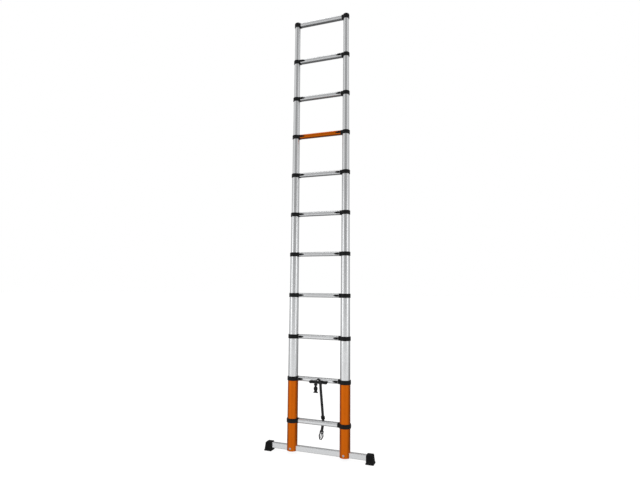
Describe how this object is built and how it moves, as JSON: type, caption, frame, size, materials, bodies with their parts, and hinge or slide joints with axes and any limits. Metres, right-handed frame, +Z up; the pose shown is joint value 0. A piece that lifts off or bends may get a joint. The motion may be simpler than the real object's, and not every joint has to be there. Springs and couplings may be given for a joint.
{
  "type": "telescopic ladder",
  "caption": "Telescopic ladder on a wide stabiliser bar: stile tubes that slide into each other, hollow rungs in collars with release buttons, and a carry handle with a strap.",
  "frame": {"origin": "on the floor, under the middle of the ladder", "axes": "+Z up along the stiles, +X along the rungs to the right as the climber sees it, -Y towards the climber"},
  "size_m": [0.814, 0.087, 3.252],
  "materials": {
    "aluminium": "satin natural anodised extrusion",
    "orange_aluminium": "satin orange anodised tube",
    "black_nylon": "fine moulded grain",
    "black_rubber": "matt moulded rubber",
    "steel": "zinc plated",
    "webbing": "woven polyester webbing"
  },
  "bodies": {
    "base": {"base_tubes": "orange_aluminium", "base_plugs": "black_nylon", "stabiliser_bar": "aluminium", "feet": "black_rubber", "bar_bolts": "steel", "rung_clamps": "black_nylon", "fixing_screws": "steel", "rung_1": "aluminium", "rung_2": "aluminium", "collars_2": "black_nylon", "carry_handle": "black_nylon", "strap_loops": "webbing", "long_strap": "webbing", "buckle_plug": "black_nylon", "buckle_socket": "black_nylon"},
    "section_3": {"stiles_3": "aluminium", "rung_3": "aluminium", "collars_3": "black_nylon"},
    "section_4": {"stiles_4": "aluminium", "rung_4": "aluminium", "collars_4": "black_nylon"},
    "section_5": {"stiles_5": "aluminium", "rung_5": "aluminium", "collars_5": "black_nylon"},
    "section_6": {"stiles_6": "aluminium", "rung_6": "aluminium", "collars_6": "black_nylon"},
    "section_7": {"stiles_7": "aluminium", "rung_7": "aluminium", "collars_7": "black_nylon"},
    "section_8": {"stiles_8": "aluminium", "rung_8": "orange_aluminium", "collars_8": "black_nylon"},
    "section_9": {"stiles_9": "aluminium", "rung_9": "aluminium", "collars_9": "black_nylon"},
    "section_10": {"stiles_10": "aluminium", "rung_10": "aluminium", "collars_10": "black_nylon"},
    "section_11": {"stiles_11": "aluminium", "rung_11": "aluminium", "top_caps": "black_nylon"},
    "button_2_left": {"latch_2_left": "black_nylon"},
    "button_2_right": {"latch_2_right": "black_nylon"},
    "button_3_left": {"latch_3_left": "black_nylon"},
    "button_3_right": {"latch_3_right": "black_nylon"},
    "button_4_left": {"latch_4_left": "black_nylon"},
    "button_4_right": {"latch_4_right": "black_nylon"},
    "button_5_left": {"latch_5_left": "black_nylon"},
    "button_5_right": {"latch_5_right": "black_nylon"},
    "button_6_left": {"latch_6_left": "black_nylon"},
    "button_6_right": {"latch_6_right": "black_nylon"},
    "button_7_left": {"latch_7_left": "black_nylon"},
    "button_7_right": {"latch_7_right": "black_nylon"},
    "button_8_left": {"latch_8_left": "black_nylon"},
    "button_8_right": {"latch_8_right": "black_nylon"},
    "button_9_left": {"latch_9_left": "black_nylon"},
    "button_9_right": {"latch_9_right": "black_nylon"},
    "button_10_left": {"latch_10_left": "black_nylon"},
    "button_10_right": {"latch_10_right": "black_nylon"}
  },
  "joints": [
    {"name": "slide_3", "type": "slide", "parent": "base", "child": "section_3", "axis": [0, 0, 1], "range_m": [-0.25, 0]},
    {"name": "slide_4", "type": "slide", "parent": "section_3", "child": "section_4", "axis": [0, 0, 1], "range_m": [-0.25, 0]},
    {"name": "slide_5", "type": "slide", "parent": "section_4", "child": "section_5", "axis": [0, 0, 1], "range_m": [-0.25, 0]},
    {"name": "slide_6", "type": "slide", "parent": "section_5", "child": "section_6", "axis": [0, 0, 1], "range_m": [-0.25, 0]},
    {"name": "slide_7", "type": "slide", "parent": "section_6", "child": "section_7", "axis": [0, 0, 1], "range_m": [-0.25, 0]},
    {"name": "slide_8", "type": "slide", "parent": "section_7", "child": "section_8", "axis": [0, 0, 1], "range_m": [-0.25, 0]},
    {"name": "slide_9", "type": "slide", "parent": "section_8", "child": "section_9", "axis": [0, 0, 1], "range_m": [-0.25, 0]},
    {"name": "slide_10", "type": "slide", "parent": "section_9", "child": "section_10", "axis": [0, 0, 1], "range_m": [-0.25, 0]},
    {"name": "slide_11", "type": "slide", "parent": "section_10", "child": "section_11", "axis": [0, 0, 1], "range_m": [-0.25, 0]},
    {"name": "press_2_left", "type": "slide", "parent": "base", "child": "button_2_left", "axis": [1, 0, 0], "range_m": [0, 0.01], "stiffness_N_per_m": 400, "springref_m": -0.01},
    {"name": "press_2_right", "type": "slide", "parent": "base", "child": "button_2_right", "axis": [-1, 0, 0], "range_m": [0, 0.01], "stiffness_N_per_m": 400, "springref_m": -0.01},
    {"name": "press_3_left", "type": "slide", "parent": "section_3", "child": "button_3_left", "axis": [1, 0, 0], "range_m": [0, 0.01], "stiffness_N_per_m": 400, "springref_m": -0.01},
    {"name": "press_3_right", "type": "slide", "parent": "section_3", "child": "button_3_right", "axis": [-1, 0, 0], "range_m": [0, 0.01], "stiffness_N_per_m": 400, "springref_m": -0.01},
    {"name": "press_4_left", "type": "slide", "parent": "section_4", "child": "button_4_left", "axis": [1, 0, 0], "range_m": [0, 0.01], "stiffness_N_per_m": 400, "springref_m": -0.01},
    {"name": "press_4_right", "type": "slide", "parent": "section_4", "child": "button_4_right", "axis": [-1, 0, 0], "range_m": [0, 0.01], "stiffness_N_per_m": 400, "springref_m": -0.01},
    {"name": "press_5_left", "type": "slide", "parent": "section_5", "child": "button_5_left", "axis": [1, 0, 0], "range_m": [0, 0.01], "stiffness_N_per_m": 400, "springref_m": -0.01},
    {"name": "press_5_right", "type": "slide", "parent": "section_5", "child": "button_5_right", "axis": [-1, 0, 0], "range_m": [0, 0.01], "stiffness_N_per_m": 400, "springref_m": -0.01},
    {"name": "press_6_left", "type": "slide", "parent": "section_6", "child": "button_6_left", "axis": [1, 0, 0], "range_m": [0, 0.01], "stiffness_N_per_m": 400, "springref_m": -0.01},
    {"name": "press_6_right", "type": "slide", "parent": "section_6", "child": "button_6_right", "axis": [-1, 0, 0], "range_m": [0, 0.01], "stiffness_N_per_m": 400, "springref_m": -0.01},
    {"name": "press_7_left", "type": "slide", "parent": "section_7", "child": "button_7_left", "axis": [1, 0, 0], "range_m": [0, 0.01], "stiffness_N_per_m": 400, "springref_m": -0.01},
    {"name": "press_7_right", "type": "slide", "parent": "section_7", "child": "button_7_right", "axis": [-1, 0, 0], "range_m": [0, 0.01], "stiffness_N_per_m": 400, "springref_m": -0.01},
    {"name": "press_8_left", "type": "slide", "parent": "section_8", "child": "button_8_left", "axis": [1, 0, 0], "range_m": [0, 0.01], "stiffness_N_per_m": 400, "springref_m": -0.01},
    {"name": "press_8_right", "type": "slide", "parent": "section_8", "child": "button_8_right", "axis": [-1, 0, 0], "range_m": [0, 0.01], "stiffness_N_per_m": 400, "springref_m": -0.01},
    {"name": "press_9_left", "type": "slide", "parent": "section_9", "child": "button_9_left", "axis": [1, 0, 0], "range_m": [0, 0.01], "stiffness_N_per_m": 400, "springref_m": -0.01},
    {"name": "press_9_right", "type": "slide", "parent": "section_9", "child": "button_9_right", "axis": [-1, 0, 0], "range_m": [0, 0.01], "stiffness_N_per_m": 400, "springref_m": -0.01},
    {"name": "press_10_left", "type": "slide", "parent": "section_10", "child": "button_10_left", "axis": [1, 0, 0], "range_m": [0, 0.01], "stiffness_N_per_m": 400, "springref_m": -0.01},
    {"name": "press_10_right", "type": "slide", "parent": "section_10", "child": "button_10_right", "axis": [-1, 0, 0], "range_m": [0, 0.01], "stiffness_N_per_m": 400, "springref_m": -0.01}
  ]
}
